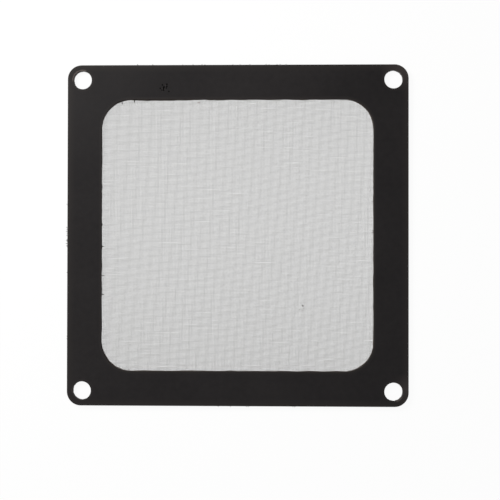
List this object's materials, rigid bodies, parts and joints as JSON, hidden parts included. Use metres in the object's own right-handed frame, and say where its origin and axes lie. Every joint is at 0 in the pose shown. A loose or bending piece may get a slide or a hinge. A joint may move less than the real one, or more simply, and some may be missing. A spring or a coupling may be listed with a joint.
{
  "type": "fan dust filter",
  "caption": "Square fan dust filter: a thin black frame with rounded corners and corner screw holes, and a fine black woven mesh glued across its window.",
  "frame": {"origin": "centre of the outline, on the plane of the mesh's back", "axes": "+Z out of the front of the frame, +Y towards the top edge in the picture, +X towards the right edge"},
  "size_m": [0.09, 0.09, 0.0014],
  "materials": {
    "frame_black": "matt black flexible sheet",
    "mesh_black": "matt black woven thread"
  },
  "bodies": {
    "root": {"frame": "frame_black", "filter_mesh": "mesh_black"}
  },
  "joints": []
}
